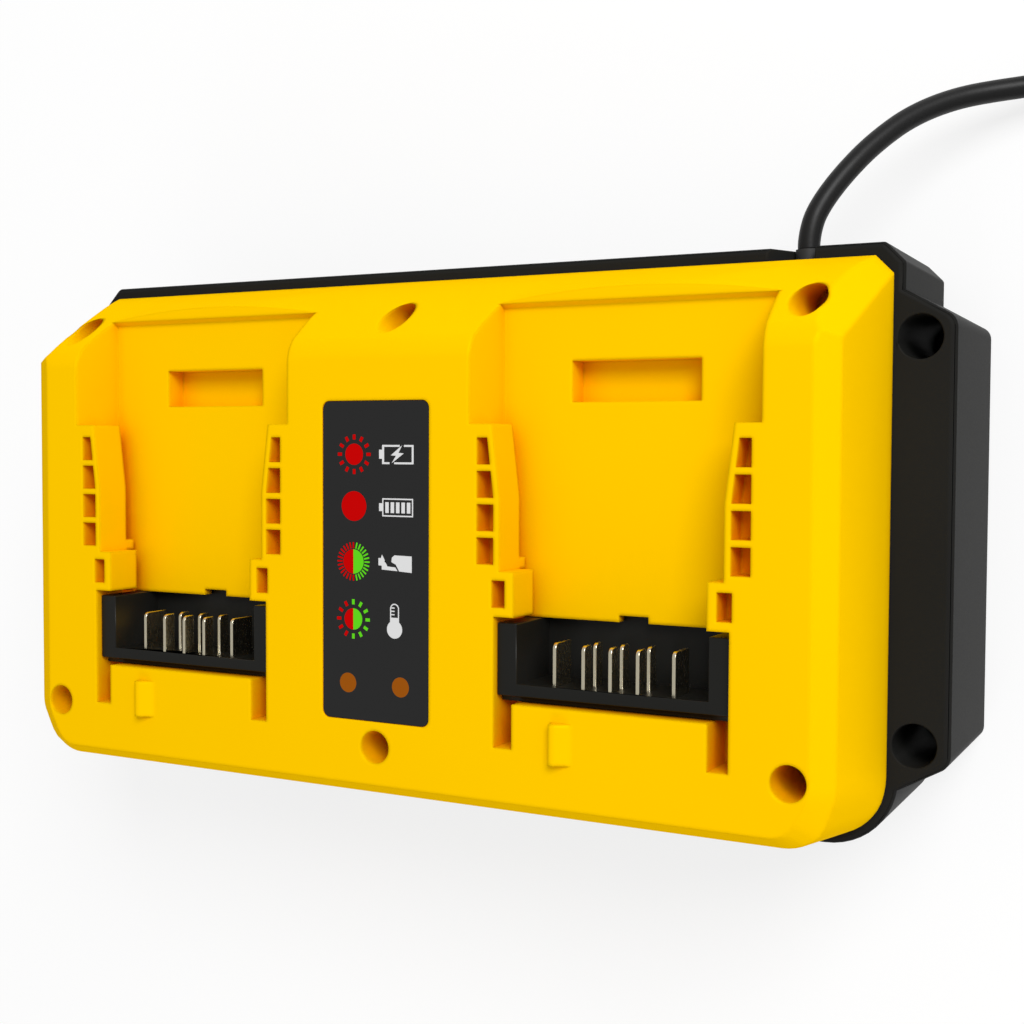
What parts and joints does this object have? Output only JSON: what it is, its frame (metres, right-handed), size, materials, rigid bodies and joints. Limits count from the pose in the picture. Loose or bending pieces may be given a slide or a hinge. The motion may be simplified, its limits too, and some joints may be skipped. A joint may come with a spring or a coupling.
{
  "type": "power tool battery charger",
  "caption": "Mains-powered charger with side-by-side slide-in bays for cordless tool packs, a status label, wall-screw ears and a coiled supply cord.",
  "frame": {"origin": "centre of the footprint, level with the underside of the rubber feet", "axes": "+X along the case towards the bay beside the cord, +Y towards the cord edge, +Z towards the face that takes the battery packs"},
  "size_m": [0.328, 0.1583, 0.0718],
  "materials": {
    "housing_black": "fine satin texture, moulded",
    "cover_yellow": "fine satin texture, moulded",
    "rubber_black": "matt rubber",
    "screw_steel": "zinc plated",
    "label_charcoal": "matt printed film",
    "lens_amber": "clear tinted window in the film",
    "circuit_board": "solder mask",
    "led_red": "tinted epoxy",
    "terminal_black": "satin moulded",
    "contact_nickel": "bright nickel plate",
    "ferrite_grey": "sintered",
    "winding_tape": "polyester tape",
    "winding_copper": "enamelled wire",
    "capacitor_blue": "shrink sleeve",
    "capacitor_yellow": "moulded case",
    "capacitor_green": "shrink sleeve",
    "component_black": "epoxy package",
    "fuse_ceramic": "glazed",
    "heatsink_aluminium": "plain extruded",
    "wire_red": "PVC insulation",
    "wire_white": "PVC insulation",
    "wire_brown": "PVC insulation",
    "cord_black": "matt flexible sheath",
    "tie_black": "hook-and-loop strap",
    "plug_black": "soft moulded PVC"
  },
  "bodies": {
    "root": {"base_housing": "housing_black", "top_cover": "cover_yellow", "rubber_feet": "rubber_black", "cover_screws": "screw_steel", "label_overlay": "label_charcoal", "indicator_lenses": "lens_amber", "led_board": "circuit_board", "indicator_leds": "led_red", "led_board_screws": "screw_steel", "terminal_block_left": "terminal_black", "terminal_block_right": "terminal_black", "power_blades_left": "contact_nickel", "power_blades_right": "contact_nickel", "signal_blades_left": "contact_nickel", "signal_blades_right": "contact_nickel", "terminal_screws": "screw_steel", "main_board": "circuit_board", "board_screws": "screw_steel", "transformer_core": "ferrite_grey", "transformer_winding": "winding_tape", "filter_choke": "winding_copper", "bulk_capacitor": "capacitor_blue", "filter_capacitor": "capacitor_yellow", "bridge_rectifier": "component_black", "mains_fuse": "fuse_ceramic", "primary_heatsink": "heatsink_aluminium", "output_heatsink": "heatsink_aluminium", "power_transistors": "component_black", "output_capacitors": "capacitor_green", "terminal_leads_left": "wire_red", "terminal_leads_right": "wire_red", "indicator_lead": "wire_white", "mains_leads": "wire_brown", "inner_cord": "cord_black", "cord_clamp": "housing_black", "clamp_screws": "screw_steel", "strain_relief": "rubber_black", "mains_cord": "cord_black", "cord_coil": "cord_black", "coil_tie": "tie_black", "plug_lead": "cord_black", "plug_body": "plug_black", "plug_blades": "contact_nickel"}
  },
  "joints": []
}
